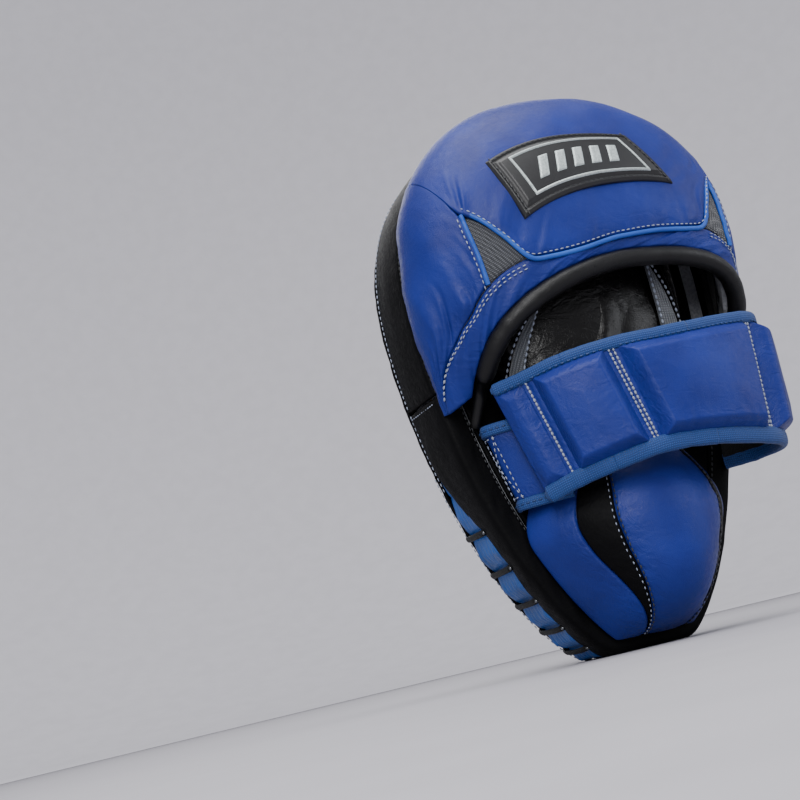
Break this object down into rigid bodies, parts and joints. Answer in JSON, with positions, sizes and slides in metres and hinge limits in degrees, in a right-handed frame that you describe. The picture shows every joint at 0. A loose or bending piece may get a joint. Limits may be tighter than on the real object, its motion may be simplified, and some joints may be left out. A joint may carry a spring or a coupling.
{
  "type": "focus mitt",
  "caption": "Curved focus mitt: laced foam striking pad with recessed target, padded finger hood, finger glove, heel cushion and padded hook-and-loop wrist strap.",
  "frame": {"origin": "on the flat at the heel, on the centreline, 30 mm behind the crest of the target ring", "axes": "+Z from the heel to the fingertips, -Y the way the target faces, +Y the hand side, +X to the right seen from the target side"},
  "size_m": [0.1866, 0.12, 0.291],
  "materials": {
    "black_leather": "semi-gloss smooth leather with fine grain",
    "blue_leather": "semi-gloss royal blue leather",
    "soft_foam": "open-cell padding foam",
    "firm_foam": "closed-cell impact foam",
    "stiff_board": "fibre stiffener sheet",
    "underlay_fabric": "ribbed satin blue under the lacing",
    "lace_cord": "braided black cord",
    "lining_fabric": "brushed nylon lining",
    "mesh_knit": "ribbed grey knit mesh",
    "label_rubber": "moulded satin rubber",
    "label_plate": "silvered moulded plastic",
    "badge_blue": "printed vinyl",
    "badge_white": "printed vinyl",
    "woven_binding": "woven nylon binding tape",
    "hook_and_loop": "hook and loop pile"
  },
  "bodies": {
    "mitt": {"target_cover": "black_leather", "palm_panel": "black_leather", "side_gusset": "black_leather", "back_band": "black_leather", "heel_dart_left": "black_leather", "heel_dart_right": "black_leather", "finger_glove": "black_leather", "arch_trim": "black_leather", "hood_side_left": "blue_leather", "hood_side_right": "blue_leather", "hood_crown": "blue_leather", "hood_front_band": "blue_leather", "heel_side_left": "blue_leather", "heel_side_right": "blue_leather", "heel_centre_panel": "blue_leather", "tab": "blue_leather", "ring_foam": "soft_foam", "centre_foam": "soft_foam", "back_foam": "soft_foam", "hood_padding": "soft_foam", "heel_foam": "soft_foam", "shock_foam": "firm_foam", "backing_board": "stiff_board", "lace_underlay": "underlay_fabric", "lace": "lace_cord", "hood_lining": "lining_fabric", "vent_left": "mesh_knit", "vent_right": "mesh_knit", "glove_gusset_left": "mesh_knit", "glove_gusset_right": "mesh_knit", "label_base": "label_rubber", "label_plate": "label_plate", "badge_base": "badge_blue", "badge_face": "badge_white", "tab_binding_upper": "woven_binding", "tab_binding_lower": "woven_binding", "tab_loop_patch": "hook_and_loop"},
    "strap_side": {"strap_side_pad": "blue_leather", "strap_side_lining": "lining_fabric", "strap_side_binding_upper": "woven_binding", "strap_side_binding_lower": "woven_binding"},
    "strap_middle": {"strap_middle_pad": "blue_leather", "strap_middle_lining": "lining_fabric", "strap_middle_binding_upper": "woven_binding", "strap_middle_binding_lower": "woven_binding"},
    "strap_front": {"strap_front_pad": "blue_leather", "strap_front_lining": "lining_fabric", "strap_front_binding_upper": "woven_binding", "strap_front_binding_lower": "woven_binding"},
    "strap_flap": {"strap_flap_pad": "blue_leather", "strap_flap_lining": "lining_fabric", "strap_flap_binding_upper": "woven_binding", "strap_flap_binding_lower": "woven_binding", "flap_hook_patch": "hook_and_loop"}
  },
  "joints": [
    {"name": "strap_root", "type": "hinge", "parent": "mitt", "child": "strap_side", "pos_m": [-0.07, 0.022, 0.098], "axis": [-0.1414, 0, 0.9899], "range_deg": [0, 15]},
    {"name": "strap_corner_fold", "type": "hinge", "parent": "strap_side", "child": "strap_middle", "pos_m": [-0.066, 0.072, 0.1185], "axis": [-0.0892, -0.0297, 0.9956], "range_deg": [0, 55]},
    {"name": "strap_centre_fold", "type": "hinge", "parent": "strap_middle", "child": "strap_front", "pos_m": [0.0095, 0.077, 0.1185], "axis": [0.2222, -0.0342, 0.9744], "range_deg": [0, 55]},
    {"name": "strap_flap_fold", "type": "hinge", "parent": "strap_front", "child": "strap_flap", "pos_m": [0.046, 0.0565, 0.113], "axis": [0.2343, -0.0502, 0.9709], "range_deg": [0, 50]}
  ]
}
